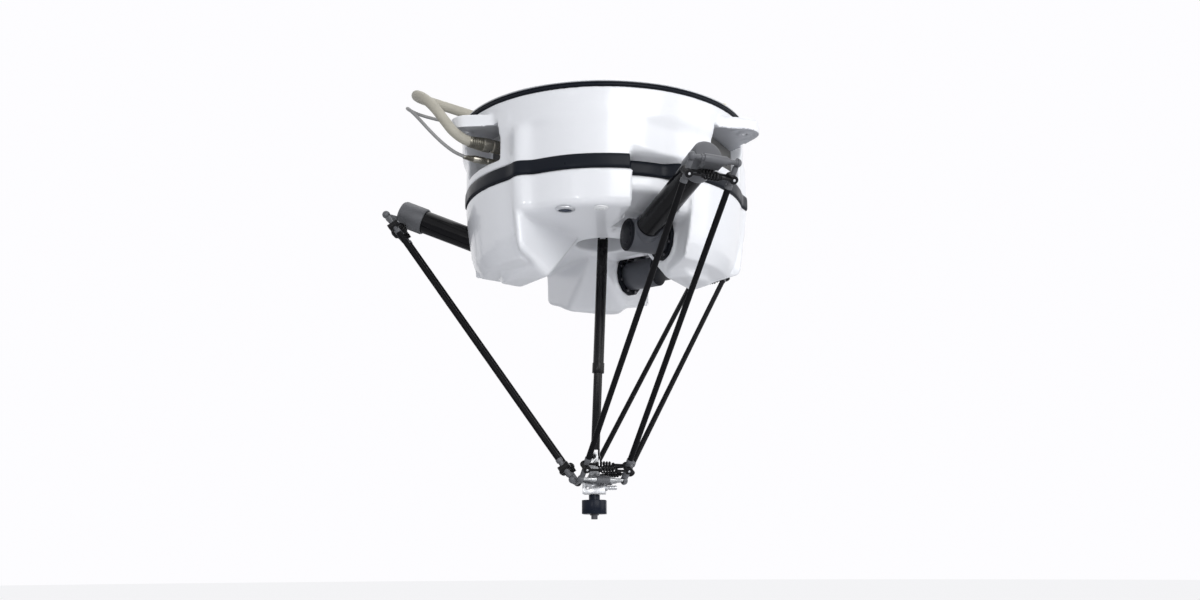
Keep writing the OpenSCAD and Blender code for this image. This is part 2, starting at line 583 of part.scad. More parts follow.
// ---- rotating tool under the plate
joint_up = 55;                          // lower universal joint above the plate centre
yoke_in = 9;                            // half width between the yoke's ears
ear = 7;
module tool_yoke() color(c_steel) on_plate() difference() {
  union() {
    translate([0, 0, -plate_t/2 - block[2] - 14]) cylinder(h = plate_t + block[2] + 14 + 8, r = 9, $fn = 48);
    translate([0, 0, plate_t/2 + gap]) cylinder(h = 30, r = 13, $fn = 48);
    for (s = [-1, 1]) scale([1, s, 1]) translate([0, yoke_in + 4, plate_t/2 + 26]) {
      translate([-11, 0, 0]) cube([22, ear, joint_up - plate_t/2 - 26]);
      translate([0, 0, joint_up - plate_t/2 - 26]) rod_y(11, 0, ear, 36);
    }
    translate([0, 0, plate_t/2 + 22]) cylinder(h = 8, r = 19, $fn = 48);
  }
  translate([0, 0, joint_up]) rod_y(3 + open_shaft, -40, 40, 36);
}
module swivel() color([0.09, 0.12, 0.20]) on_plate() translate([0, 0, -plate_t/2 - block[2] - 8]) difference() {
  union() {
    translate([0, 0, -8]) cylinder(h = 8 - gap + 8 - 1, r = 13, $fn = 48);
    translate([0, 0, -6 - swivel_h]) intersection() {
      cylinder(h = swivel_h, d = swivel_d, $fn = 72);
      translate([-swivel_d/2 + 3, -swivel_d/2, 0]) cube([swivel_d - 6, swivel_d, swivel_h]);
    }
  }
  translate([0, 0, -6]) cylinder(h = 40, r = 9 + run, $fn = 48);
}
module nozzle() color([0.12, 0.14, 0.2]) on_plate() translate([0, 0, -plate_t/2 - block[2] - 14 - swivel_h]) difference() {
  union() {
    translate([0, 0, -12]) cylinder(h = 12, d = nozzle_d, $fn = 48);
    translate([0, 0, -3]) cylinder(h = 3, d = nozzle_d + 6, $fn = 48);
  }
  translate([0, 0, -13]) cylinder(h = 14, r = 3, $fn = 36);
}

// ---- telescopic shaft: upper end at the drive, lower end at the tool yoke
shaft_mid = 50;                         // aimed at the middle of the 100 mm stroke
shaft_dir = [plate_x, plate_y, -plate_drop + joint_up - shaft_mid - drive_z];
shaft_tilt = atan2(norm([plate_x, plate_y]), -shaft_dir[2]);
shaft_az = atan2(plate_y, plate_x);
shaft_len = (plate_drop - joint_up + drive_z)/cos(shaft_tilt);
// origin at the upper joint, z down along the shaft
module on_shaft() base() translate([0, 0, drive_z]) rotate([0, 0, shaft_az]) rotate([0, -shaft_tilt, 0])
  rotate([0, 0, -shaft_az]) rotate([180, 0, 0]) children();
module cross() {
  rod_x(3, -14, 14, 24);
  rod_y(3, -14, 14, 24);
  cube([10, 10, 10], center = true);
}
outer_l = 330;
module shaft_outer() color(c_black) on_shaft() difference() {
  union() {
    translate([0, 0, 20]) cylinder(h = outer_l, d = shaft_d, $fn = 48);
    translate([0, 0, 20 + outer_l - 24]) cylinder(h = 24, d = shaft_d + 3, $fn = 48);
    for (s = [-1, 1]) scale([s, 1, 1]) translate([7, -6, -6]) cube([5, 12, 30]);
    translate([0, 0, 0]) cross();
  }
  translate([0, 0, 26]) cylinder(h = outer_l, d = shaft_in_d + 2*run, $fn = 48);
}
module shaft_inner() color(c_black) on_shaft() {
  difference() {
    translate([0, 0, 150]) cylinder(h = shaft_len - 150 - 18, d = shaft_in_d, $fn = 48);
    translate([0, 0, 149]) cylinder(h = shaft_len - 150 - 40, d = shaft_in_d - 5, $fn = 48);
  }
  translate([0, 0, shaft_len]) {
    for (s = [-1, 1]) scale([s, 1, 1]) translate([6.5, -5, -20]) cube([4, 10, 26]);
    rod_x(3, -13, 13, 24);
    rod_y(3, -19, 19, 24);
    cube([9, 9, 9], center = true);
  }
}
module shaft_drive() color(c_dark) base() translate([0, 0, split_z]) difference() {
  union() {
    translate([0, 0, -36]) cylinder(h = 60, r = 35.9, $fn = 72);
    translate([0, 0, 8]) cylinder(h = 12, r = 60, $fn = 72);
    translate([-36, -36, 20]) cube([72, 72, 110]);
  }
  translate([0, 0, -40]) cylinder(h = 50, r = 12 + run, $fn = 48);
}
module top_yoke() color(c_steel) base() difference() {
  union() {
    translate([0, 0, split_z - 42]) cylinder(h = 50, r = 12, $fn = 48);
    translate([0, 0, drive_z + 20]) cylinder(h = 5, r = 21, $fn = 48);
    for (s = [-1, 1]) scale([1, s, 1]) translate([0, 8, 0]) {
      translate([-8, 0, drive_z]) cube([16, 8, 22]);
      translate([0, 0, drive_z]) rod_y(8, 0, 8, 36);
    }
  }
  translate([0, 0, drive_z]) rod_y(3 + open_yoke, -40, 40, 36);
}

// ---- cables: a free stretch from each socket up over the rim, then a round coil
// that lies on the lid. Points are in the motor-axis frame.
tie_t = 1.5;
coil_z = ring_top + 15 + tie_t;         // underside of the coils
function at_socket(p, x) = [(p[0] + x)*cos(lug_a) - p[1]*sin(lug_a), (p[0] + x)*sin(lug_a) + p[1]*cos(lug_a), p[2]];
power_route = [[-298, -251, 222], [-320, -267, 236], [-338, -277, 258], [-356, -282, 282], [-376, -281, 304],
  [-396, -270, 322], [-414, -246, 337], [-420, -212, 347], [-414, -178, 354], [-396, -148, 357],
  [-368, -126, 354], [-334, -112, 346], [-300, -100, 338], [-260, -93, 330], [-220, -91, 326],
  [-180, -91, 325.5], [-120, -91, 325.5], [-40, -91, 325.5], [46, -91, 325.5]];
power_tail = [[181, 50, 349.5], [181, 92, 347], [185, 124, 340], [190, 152, 332], [190, 182, 332]];
signal_route = [[-320, -237, 195], [-340, -252, 207], [-358, -264, 222], [-376, -273, 240], [-394, -277, 260],
  [-412, -274, 280], [-428, -260, 297], [-438, -236, 309], [-440, -206, 317], [-432, -172, 322],
  [-412, -142, 324], [-382, -116, 324], [-346, -98, 321], [-310, -84, 318], [-270, -72, 317.5],
  [-230, -50, 317.5], [-195, -22, 317.5], [-176, 18, 317.5], [-169, 60, 317.5], [-168, 110, 317.5]];
signal_tail = [[-288, 110, 325.5], [-289, 88, 323.5], [-290, 66, 321], [-290, 48, 321], [-290, 30, 321]];
power_hub = [46, 50];                   // centres of the coils
signal_hub = [-230, 110];
power_turns = [111, 141];               // innermost and outermost turn, centre lines
signal_turns = [34, 62];

function curve(a, b, c, d, t) = 0.5*(2*b + (c - a)*t + (2*a - 5*b + 4*c - d)*t*t + (3*b - a - 3*c + d)*t*t*t);
function smooth(p, n) = let (m = len(p) - 1) concat(
  [for (i = [0:m - 1], k = [0:n - 1]) curve(p[max(i - 1, 0)], p[i], p[i + 1], p[min(i + 2, m)], k/n)], [p[m]]);
function unit(v) = v/norm(v);
function along(p, i) = unit(p[min(i + 1, len(p) - 1)] - p[max(i - 1, 0)]);
function ring(p, i, r, n) = let (t = along(p, i), u = unit(cross(t, [0, 0, 1])), v = cross(u, t))
  [for (k = [0:n - 1]) p[i] + r*(cos(360*k/n)*u + sin(360*k/n)*v)];
module tube(p, r, n) {
  m = len(p) - 1;
  polyhedron(points = [for (i = [0:m]) each ring(p, i, r, n)], faces = concat(
    [[for (k = [0:n - 1]) n - 1 - k]], [[for (k = [0:n - 1]) m*n + k]],
    [for (i = [0:m - 1], k = [0:n - 1]) let (a = i*n + k, b = i*n + (k + 1)%n) [a, b, b + n]],
    [for (i = [0:m - 1], k = [0:n - 1]) let (a = i*n + k, b = i*n + (k + 1)%n) [a, b + n, a + n]]));
}
module cable(at, out, route, tail, d, n, steps) base() {
  tube(smooth(concat([for (x = [-socket_bore, 0, 14]) at_socket(at, out + x)], route), steps), d/2, n);
  tube(smooth(tail, 1), d/2, n);
}
module coil(hub, turns, d, layers) base() translate([hub[0], hub[1], coil_z]) rotate_extrude($fn = 72)
  polygon([[turns[0] - d/2 + 2, 0], [turns[1] + d/2 - 2, 0], [turns[1] + d/2, 2], [turns[1] + d/2, layers*d - 2],
    [turns[1] + d/2 - 2, layers*d], [turns[0] - d/2 + 2, layers*d], [turns[0] - d/2, layers*d - 2],
    [turns[0] - d/2, 2]]);
// strap closed round the turns of a coil
module tie(hub, turns, d, layers, az, w) base() translate([hub[0], hub[1], coil_z]) rotate([0, 0, az])
  rotate_extrude(angle = w, $fn = 72) difference() {
    translate([turns[0] - d/2 - tie_t, -tie_t]) square([turns[1] - turns[0] + d + 2*tie_t, layers*d + 2*tie_t]);
    translate([turns[0] - d/2, 0]) square([turns[1] - turns[0] + d, layers*d]);
  }
module power_cable() color(c_cable) cable(power_at, power_out, power_route, power_tail, power_d, 12, 1);
module power_coil() color(c_cable) coil(power_hub, power_turns, power_d, 2);
module power_tie() color(c_black) tie(power_hub, power_turns, power_d, 2, 130, 5);
module power_plug() color(c_steel) base() translate([190, 182, coil_z - tie_t + 20]) difference() {
  union() {
    translate([-22, 14, -20]) cube([44, 66, 40]);
    translate([-24, 40, -20]) cube([48, 6, 42]);
    rod_y(16, 4, 20, 48);
    rod_y(18, 0, 10, 6);
  }
  translate([-17, 70, -15]) cube([34, 12, 30]);
}
module signal_cable() color([0.5, 0.5, 0.5]) cable(signal_at, signal_out, signal_route, signal_tail, signal_d, 8, 2);
module signal_coil() color([0.5, 0.5, 0.5]) coil(signal_hub, signal_turns, signal_d, 2);
module signal_tie() color(c_black) tie(signal_hub, signal_turns, signal_d, 2, 90, 10);
module signal_plug() color(c_steel) base() translate([-290, 30, coil_z - tie_t + 9]) mirror([0, 1, 0]) difference() {
  union() {
    rod_y(7, 0, 12, 36);
    rod_y(9, 10, 30, 12);
    rod_y(8, 28, 48, 36);
  }
  rod_y(6, 38, 50, 36);
}

housing_ring();
lid();
lid_seal();
lid_screws();
band_seal();
lower_housing();
inner_plate();
housing_bolts();
port_ring();
port_glass();
port_plug();
socket_panel();
power_socket();
signal_socket();
gearboxes();
motor(0);  // motor_1
motor(1);  // motor_2
motor(2);  // motor_3
flange_rings();
flange_bolts();
shaft_drive();
top_yoke();
hub(0);  // hub_1
hub(1);  // hub_2
hub(2);  // hub_3
hub_cap(0);  // hub_cap_1
hub_cap(1);  // hub_cap_2
hub_cap(2);  // hub_cap_3
arm_tube(0);  // arm_tube_1
arm_tube(1);  // arm_tube_2
arm_tube(2);  // arm_tube_3
elbow(0);  // elbow_1
elbow(1);  // elbow_2
elbow(2);  // elbow_3
rods(0);  // rods_1
rods(1);  // rods_2
rods(2);  // rods_3
rod_ends(0);  // rod_ends_1
rod_ends(1);  // rod_ends_2
rod_ends(2);  // rod_ends_3
springs(0);  // springs_1
springs(1);  // springs_2
springs(2);  // springs_3
plate();
ball_bars();
plate_block();
hose_barb();
tool_yoke();
swivel();
nozzle();
shaft_outer();
shaft_inner();
power_cable();
power_coil();
power_tie();
power_plug();
signal_cable();
signal_coil();
signal_tie();
signal_plug();
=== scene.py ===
"""Looks of a ceiling-mounted delta robot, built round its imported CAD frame.

Metres, +Z up, -Y is the front. The origin is the centre of the three mounting
lugs, on the plane of their undersides.
"""

import json
import math

import bpy
import bmesh
import numpy as np
from mathutils import Matrix, Vector


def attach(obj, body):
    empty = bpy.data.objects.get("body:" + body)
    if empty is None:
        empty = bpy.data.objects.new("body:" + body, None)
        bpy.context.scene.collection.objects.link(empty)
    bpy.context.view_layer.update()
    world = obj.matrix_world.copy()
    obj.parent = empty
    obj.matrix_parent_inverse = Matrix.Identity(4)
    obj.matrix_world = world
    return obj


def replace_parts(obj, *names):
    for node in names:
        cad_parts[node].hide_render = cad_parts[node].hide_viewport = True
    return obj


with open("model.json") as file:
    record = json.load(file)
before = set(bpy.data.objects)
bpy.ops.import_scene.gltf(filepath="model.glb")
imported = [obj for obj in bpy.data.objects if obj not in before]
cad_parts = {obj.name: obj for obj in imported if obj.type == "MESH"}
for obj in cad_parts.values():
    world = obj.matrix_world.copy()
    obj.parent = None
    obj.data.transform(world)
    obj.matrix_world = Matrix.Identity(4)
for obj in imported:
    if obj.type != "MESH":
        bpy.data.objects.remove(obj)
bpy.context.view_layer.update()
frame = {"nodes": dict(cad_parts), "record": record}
nodes = frame["nodes"]
scene = bpy.context.scene
MM = 0.001
UP = (0, 0, 1)
AXIS_DROP = 0.247  # depth of the motor axes under the origin

# ---------------------------------------------------------------- camera

CAMERA_AT = Vector((0.2346, -2.6750, -0.9702))
CAMERA_TARGET = Vector((-0.0084, 0.0, -0.3554))
CAMERA_ROLL = math.radians(-0.27)
CAMERA_LENS = 34.01


def add_camera():
    """The camera at the viewing angle from below, level with the plate."""
    data = bpy.data.cameras.new("camera")
    data.sensor_width = 36.0
    data.sensor_fit = "HORIZONTAL"
    data.lens = CAMERA_LENS
    data.clip_end = 120.0
    camera = bpy.data.objects.new("camera", data)
    scene.collection.objects.link(camera)
    look = (CAMERA_TARGET - CAMERA_AT).to_track_quat("-Z", "Y")
    camera.matrix_world = (
        Matrix.Translation(CAMERA_AT)
        @ look.to_matrix().to_4x4()
        @ Matrix.Rotation(CAMERA_ROLL, 4, "Z")
    )
    scene.camera = camera


add_camera()

# ---------------------------------------------------------------- materials


class Shader:
    """Builds one procedural material; each method adds a layer and returns the builder."""

    def __init__(self, name, color, rough, metal=0.0, **sockets):
        self.mat = bpy.data.materials.new(name)
        self.mat.use_nodes = True
        self.nodes = self.mat.node_tree.nodes
        self.links = self.mat.node_tree.links
        self.bsdf = self.nodes["Principled BSDF"]
        self.color = color
        self.set("Base Color", (*color, 1.0))
        self.set("Roughness", rough)
        self.set("Metallic", metal)
        for key, value in sockets.items():
            self.set(key.replace("_", " "), value)
        self.coords = self.nodes.new("ShaderNodeTexCoord").outputs["Object"]
        self.normal = None

    def set(self, socket, value):
        self.bsdf.inputs[socket].default_value = value

    def noise(self, scale, detail=3.0, stretch=None):
        vector = self.coords
        if stretch:
            mapping = self.nodes.new("ShaderNodeMapping")
            mapping.inputs["Scale"].default_value = stretch
            self.links.new(vector, mapping.inputs["Vector"])
            vector = mapping.outputs["Vector"]
        tex = self.nodes.new("ShaderNodeTexNoise")
        tex.inputs["Scale"].default_value = scale
        tex.inputs["Detail"].default_value = detail
        self.links.new(vector, tex.inputs["Vector"])
        return tex.outputs["Fac"]

    def remap(self, value, low, high):
        node = self.nodes.new("ShaderNodeMapRange")
        node.inputs["From Min"].default_value = 0.3
        node.inputs["From Max"].default_value = 0.7
        node.inputs["To Min"].default_value = low
        node.inputs["To Max"].default_value = high
        self.links.new(value, node.inputs["Value"])
        return node.outputs["Result"]

    def vary_color(self, scale, amount, stretch=None):
        """Colour drifts a little lighter and darker over the surface."""
        ramp = self.nodes.new("ShaderNodeValToRGB")
        dark = [c * (1 - amount) for c in self.color]
        light = [min(1.0, c * (1 + amount)) for c in self.color]
        ramp.color_ramp.elements[0].position = 0.3
        ramp.color_ramp.elements[0].color = (*dark, 1)
        ramp.color_ramp.elements[1].position = 0.7
        ramp.color_ramp.elements[1].color = (*light, 1)
        self.links.new(self.noise(scale, 4.0, stretch), ramp.inputs["Fac"])
        self.links.new(ramp.outputs["Color"], self.bsdf.inputs["Base Color"])
        return self

    def vary_rough(self, scale, low, high, stretch=None):
        value = self.remap(self.noise(scale, 3.0, stretch), low, high)
        self.links.new(value, self.bsdf.inputs["Roughness"])
        return self

    def bump(self, height, strength, distance):
        node = self.nodes.new("ShaderNodeBump")
        node.inputs["Strength"].default_value = strength
        node.inputs["Distance"].default_value = distance
        self.links.new(height, node.inputs["Height"])
        if self.normal:
            self.links.new(self.normal, node.inputs["Normal"])
        self.normal = node.outputs["Normal"]
        self.links.new(self.normal, self.bsdf.inputs["Normal"])
        return self

    def grain(self, scale, strength, distance=0.0004, stretch=None):
        return self.bump(self.noise(scale, 4.0, stretch), strength, distance)


def make_materials():
    """Every finish of the robot, by its key."""
    m = {}
    m["white_paint"] = (
        Shader("white_paint", (0.80, 0.812, 0.84), 0.28, Coat_Weight=0.5, Coat_Roughness=0.07)
        .vary_color(3.0, 0.012)
        .grain(260.0, 0.06, 0.0002)
        .mat
    )
    m["rubber"] = (
        Shader("rubber_seal", (0.006, 0.008, 0.013), 0.36, Specular_IOR_Level=0.12)
        .vary_rough(30.0, 0.26, 0.42)
        .grain(500.0, 0.10)
        .mat
    )
    m["lid_metal"] = (
        Shader("lid_metal", (0.55, 0.56, 0.58), 0.38, 0.9)
        .vary_rough(14.0, 0.3, 0.5)
        .grain(300.0, 0.06, 0.0003, (1, 14, 1))
        .mat
    )
    m["zinc"] = (
        Shader("zinc_steel", (0.56, 0.53, 0.42), 0.34, 1.0)
        .vary_color(60.0, 0.14)
        .vary_rough(90.0, 0.28, 0.46)
        .mat
    )
    m["dark_steel"] = (
        Shader("dark_steel", (0.10, 0.10, 0.11), 0.32, 0.9)
        .vary_color(90.0, 0.2)
        .vary_rough(120.0, 0.26, 0.42)
        .mat
    )
    m["steel"] = (
        Shader("bar_steel", (0.50, 0.51, 0.52), 0.26, 1.0)
        .vary_rough(40.0, 0.2, 0.38)
        .grain(120.0, 0.05, 0.0002, (1, 1, 12))
        .mat
    )
    m["cast_grey"] = (
        Shader("cast_grey", (0.118, 0.121, 0.130), 0.42, 0.25, Specular_IOR_Level=0.32)
        .vary_color(9.0, 0.10)
        .vary_rough(22.0, 0.36, 0.54)
        .grain(420.0, 0.22, 0.0005)
        .mat
    )
    m["hub_grey"] = (
        Shader("hub_grey", (0.072, 0.076, 0.088), 0.36, 0.1, Specular_IOR_Level=0.35)
        .vary_color(9.0, 0.12)
        .vary_rough(22.0, 0.30, 0.46)
        .grain(420.0, 0.18, 0.0004)
        .mat
    )
    m["disc_dark"] = (
        Shader("disc_dark", (0.007, 0.008, 0.011), 0.36, Specular_IOR_Level=0.06)
        .vary_rough(30.0, 0.24, 0.38)
        .grain(300.0, 0.05)
        .mat
    )
    m["tube_black"] = (
        Shader("tube_black", (0.004, 0.004, 0.005), 0.17, Specular_IOR_Level=0.16)
        .vary_rough(18.0, 0.12, 0.26)
        .grain(90.0, 0.04, 0.0003)
        .mat
    )
    m["rod_black"] = (
        Shader("rod_black", (0.006, 0.006, 0.007), 0.46, Specular_IOR_Level=0.07)
        .vary_rough(50.0, 0.34, 0.52)
        .grain(700.0, 0.14, 0.0002)
        .mat
    )
    m["shaft_black"] = (
        Shader("shaft_black", (0.006, 0.006, 0.007), 0.22, Specular_IOR_Level=0.2)
        .vary_rough(30.0, 0.15, 0.3)
        .grain(200.0, 0.04)
        .mat
    )
    m["spring_black"] = (
        Shader("spring_black", (0.007, 0.007, 0.008), 0.36, Specular_IOR_Level=0.15)
        .vary_rough(120.0, 0.26, 0.46)
        .grain(900.0, 0.12, 0.0002)
        .mat
    )
    m["silver"] = (
        Shader("silver_metal", (0.60, 0.61, 0.63), 0.32, 0.85)
        .vary_rough(60.0, 0.26, 0.42)
        .grain(600.0, 0.08, 0.0002)
        .mat
    )
    m["blue_black"] = (
        Shader("swivel_blue", (0.004, 0.007, 0.016), 0.28, 0.0, Specular_IOR_Level=0.16)
        .vary_rough(60.0, 0.24, 0.40)
        .grain(500.0, 0.08, 0.0002)
        .mat
    )
    m["connector"] = (
        Shader("connector_metal", (0.40, 0.38, 0.33), 0.30, 1.0)
        .vary_color(80.0, 0.16)
        .vary_rough(70.0, 0.22, 0.44)
        .mat
    )
    m["gland"] = (
        Shader("gland_metal", (0.20, 0.19, 0.16), 0.36, 0.9)
        .vary_color(120.0, 0.18)
        .vary_rough(90.0, 0.28, 0.48)
        .mat
    )
    m["panel"] = (
        Shader("panel_metal", (0.075, 0.075, 0.072), 0.48, 0.2)
        .vary_color(12.0, 0.12)
        .grain(300.0, 0.14)
        .mat
    )
    m["sheath_warm"] = (
        Shader("power_sheath", (0.40, 0.38, 0.32), 0.55)
        .vary_color(40.0, 0.06)
        .grain(900.0, 0.25, 0.0004, (1, 1, 3))
        .mat
    )
    m["sheath_grey"] = (
        Shader("signal_sheath", (0.26, 0.26, 0.26), 0.45)
        .vary_color(60.0, 0.06)
        .grain(900.0, 0.12, 0.0002)
        .mat
    )
    m["lug_grey"] = (
        Shader("lug_grey", (0.42, 0.43, 0.46), 0.36, 0.2)
        .vary_rough(30.0, 0.3, 0.44)
        .grain(300.0, 0.08, 0.0003)
        .mat
    )
    m["glass"] = (
        Shader("port_glass", (0.006, 0.016, 0.045), 0.12, Specular_IOR_Level=0.08)
        .vary_rough(60.0, 0.07, 0.16)
        .vary_color(60.0, 0.2)
        .mat
    )
    m["white_plastic"] = (
        Shader("white_plastic", (0.82, 0.83, 0.84), 0.3)
        .vary_rough(40.0, 0.24, 0.36)
        .grain(500.0, 0.06)
        .mat
    )
    return m


MAT = make_materials()


def dress(material, *names):
    """Gives CAD nodes their finish."""
    for name in names:
        slots = nodes[name].data.materials
        slots.clear()
        slots.append(MAT[material])


def numbered(*names):
    return [f"{name}_{k}" for name in names for k in (1, 2, 3)]


dress("white_paint", "housing_ring", "lower_housing")
dress("rubber", "lid_seal", "band_seal", "power_tie", "signal_tie")
dress("lid_metal", "lid", "inner_plate")
dress("zinc", "lid_screws", "housing_bolts")
dress("dark_steel", "flange_bolts", "nozzle")
dress("cast_grey", "gearboxes", "shaft_drive", "plate", *numbered("elbow", "rod_ends"))
dress("steel", "ball_bars", "tool_yoke", "top_yoke")
dress("hub_grey", *numbered("hub"))
dress("disc_dark", "flange_rings", *numbered("hub_cap", "motor"))
dress("tube_black", *numbered("arm_tube"))
dress("rod_black", *numbered("rods"))
dress("spring_black", *numbered("springs"))
dress("shaft_black", "shaft_outer", "shaft_inner")
dress("silver", "plate_block", "hose_barb", "port_ring")
dress("blue_black", "swivel")
dress("connector", "power_socket", "signal_socket", "power_plug", "signal_plug")
dress("panel", "socket_panel")
dress("glass", "port_glass")
dress("white_plastic", "port_plug")
dress("sheath_warm", "power_cable", "power_coil")
dress("sheath_grey", "signal_cable", "signal_coil")

# ---------------------------------------------------------------- cords

# Routes in millimetres, heights above the motor axes, as in the part's source.
LUG_AZIMUTHS = (217.2, 337.2, 97.2)
SOCKET_AZIMUTH = math.radians(LUG_AZIMUTHS[0])
SOCKET_BORE = 18
LID_TOP = 297 + 15
COIL_BASE = LID_TOP + 1.5
POWER = dict(
    diameter=24,
    socket=(268, 20, 218),
    out=76,
    hub=(46, 50),
    route=[(-298, -251, 222), (-320, -267, 236), (-338, -277, 258), (-356, -282, 282), (-376, -281, 304),
           (-396, -270, 322), (-414, -246, 337), (-420, -212, 347), (-414, -178, 354), (-396, -148, 357),
           (-368, -126, 354), (-334, -112, 346), (-300, -100, 338), (-260, -93, 330), (-220, -91, 326),
           (-180, -91, 325.5), (-120, -91, 325.5), (-40, -91, 325.5), (46, -91, 325.5)],
    tail=[(181, 50, 349.5), (181, 92, 347), (185, 124, 340), (190, 152, 332), (190, 182, 332)],
    start=-90, inner=111, outer=141, in_turns=1.25, out_turns=1.0, climb=0.25,
)
SIGNAL = dict(
    diameter=8,
    socket=(268, -6, 189),
    out=86,
    hub=(-230, 110),
    route=[(-320, -237, 195), (-340, -252, 207), (-358, -264, 222), (-376, -273, 240), (-394, -277, 260),
           (-412, -274, 280), (-428, -260, 297), (-438, -236, 309), (-440, -206, 317), (-432, -172, 322),
           (-412, -142, 324), (-382, -116, 324), (-346, -98, 321), (-310, -84, 318), (-270, -72, 317.5),
           (-230, -50, 317.5), (-195, -22, 317.5), (-176, 18, 317.5), (-169, 60, 317.5), (-168, 110, 317.5)],
    tail=[(-288, 110, 325.5), (-289, 88, 323.5), (-290, 66, 321), (-290, 48, 321), (-290, 30, 321)],
    start=0, inner=34, outer=62, in_turns=3.5, out_turns=3.0, climb=0.12,
)


def at_socket(cord, beyond):
    """A point on a socket's axis, that far past its mouth."""
    reach, side, height = cord["socket"]
    reach += cord["out"] + beyond
    c, s = math.cos(SOCKET_AZIMUTH), math.sin(SOCKET_AZIMUTH)
    return Vector((reach * c - side * s, reach * s + side * c, height))


def coil_points(cord, per_turn=36):
    """Two layers of turns: inwards along the lid, then back out on top."""
    d = cord["diameter"]
    turns = cord["in_turns"] + cord["out_turns"]
    count = int(turns * per_turn)
    points = []
    for k in range(1, count):
        t = turns * k / count
        if t < cord["in_turns"]:
            radius = cord["outer"] - d * t
            height = 0.0
        else:
            radius = cord["inner"] + d * (t - cord["in_turns"])
            rise = min(1.0, (t - cord["in_turns"]) / cord["climb"])
            height = d * (0.5 - 0.5 * math.cos(math.pi * rise))
        a = math.radians(cord["start"] + 360 * t)
        points.append(Vector((
            cord["hub"][0] + radius * math.cos(a),
            cord["hub"][1] + radius * math.sin(a),
            COIL_BASE + d / 2 + height,
        )))
    return points


def smooth_line(points, steps):
    """A Catmull-Rom curve through the points."""
    line = []
    last = len(points) - 1
    for i in range(last):
        a, b, c, d = (points[j] for j in (max(i - 1, 0), i, i + 1, min(i + 2, last)))
        for k in range(steps):
            t = k / steps
            line.append(0.5 * (2 * b + (c - a) * t + (2 * a - 5 * b + 4 * c - d) * t * t
                               + (3 * b - a - 3 * c + d) * t ** 3))
    line.append(points[last])
    return line


def from_motor(height):
    """A height in millimetres above the motor axes, in metres in the part's frame."""
    return height * MM - AXIS_DROP


def in_frame(point):
    """Millimetres with heights above the motor axes to metres in the part's frame."""
    return Vector((point[0] * MM, point[1] * MM, from_motor(point[2])))


def add_cord(name, cord, material):
    """A cable from its socket over the rim to its coil on the lid."""
    head = [at_socket(cord, x) for x in (-SOCKET_BORE, 0, 14)]
    free = smooth_line([*head, *(Vector(p) for p in cord["route"])], 4)
    tail = smooth_line([Vector(p) for p in cord["tail"]], 4)
    line = [in_frame(p) for p in [*free, *coil_points(cord), *tail]]
    data = bpy.data.curves.new(name, "CURVE")
    data.dimensions = "3D"
    data.bevel_depth = cord["diameter"] * MM / 2
    data.bevel_resolution = 6
    data.use_fill_caps = True
    spline = data.splines.new("POLY")
    spline.points.add(len(line) - 1)
    for point, co in zip(spline.points, line):
        point.co = (*co, 1)
    data.materials.append(MAT[material])
    piece = bpy.data.objects.new(name, data)
    scene.collection.objects.link(piece)
    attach(piece, "base")
    length = sum((b - a).length for a, b in zip(line, line[1:]))
    print(name, "length", round(length, 4))
    return piece, line[0], length


power, power_exit, power_length = add_cord("power_cord", POWER, "sheath_warm")
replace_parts(power, "power_cable", "power_coil")
signal, signal_exit, signal_length = add_cord("signal_cord", SIGNAL, "sheath_grey")
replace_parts(signal, "signal_cable", "signal_coil")

# ---------------------------------------------------------------- mesh helpers

BODY_OF = {n: body for body, names in frame["record"]["behaviour"]["bodies"].items() for n in names}


def add_piece(name, mesh, materials, body, sharp=35):
    """A smooth-shaded piece on a body, with edges over the sharp angle kept crisp."""
    mesh.materials.clear()
    for key in materials if isinstance(materials, tuple) else (materials,):
        mesh.materials.append(MAT[key])
    for polygon in mesh.polygons:
        polygon.use_smooth = True
    if sharp:
        mesh.set_sharp_from_angle(angle=math.radians(sharp))
    piece = bpy.data.objects.new(name, mesh)
    scene.collection.objects.link(piece)
    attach(piece, body)
    return piece


def evaluated_copy(mesh, *modifiers):
    """The mesh with modifiers applied; each is a type and its settings."""
    carrier = bpy.data.objects.new("carrier", mesh)
    scene.collection.objects.link(carrier)
    for kind, settings in modifiers:
        modifier = carrier.modifiers.new(kind, kind)
        for key, value in settings.items():
            setattr(modifier, key, value)
    depsgraph = bpy.context.evaluated_depsgraph_get()
    result = bpy.data.meshes.new_from_object(carrier.evaluated_get(depsgraph))
    bpy.data.objects.remove(carrier)
    return result


def ring_mesh(rows, closed=True):
    """A mesh through rows of points; with closed, the last row joins the first."""
    bm = bmesh.new()
    grid = [[bm.verts.new(p) for p in row_points] for row_points in rows]
    count = len(grid)
    for i in range(count if closed else count - 1):
        near, far = grid[i], grid[(i + 1) % count]
        for k in range(len(near)):
            n = (k + 1) % len(near)
            bm.faces.new((near[k], near[n], far[n], far[k]))
    if not closed:
        bm.faces.new(reversed(grid[0]))
        bm.faces.new(grid[-1])
    bmesh.ops.recalc_face_normals(bm, faces=bm.faces)
    mesh = bpy.data.meshes.new("ring")
    bm.to_mesh(mesh)
    bm.free()
    return mesh


def lathe(points, origin, axis, count=48):
    """A closed profile of (radius, height) pairs turned about an axis."""
    turn = Vector(axis).to_track_quat("Z", "Y").to_matrix()
    origin = Vector(origin)
    rows = []
    for k in range(count):
        a = 2 * math.pi * k / count
        rows.append([origin + turn @ Vector((r * math.cos(a), r * math.sin(a), h)) for r, h in points])
    return ring_mesh(rows)


def lathe_mm(points, origin, axis, count=48):
    """The same, from a profile in millimetres."""
    return lathe([(r * MM, h * MM) for r, h in points], origin, axis, count)


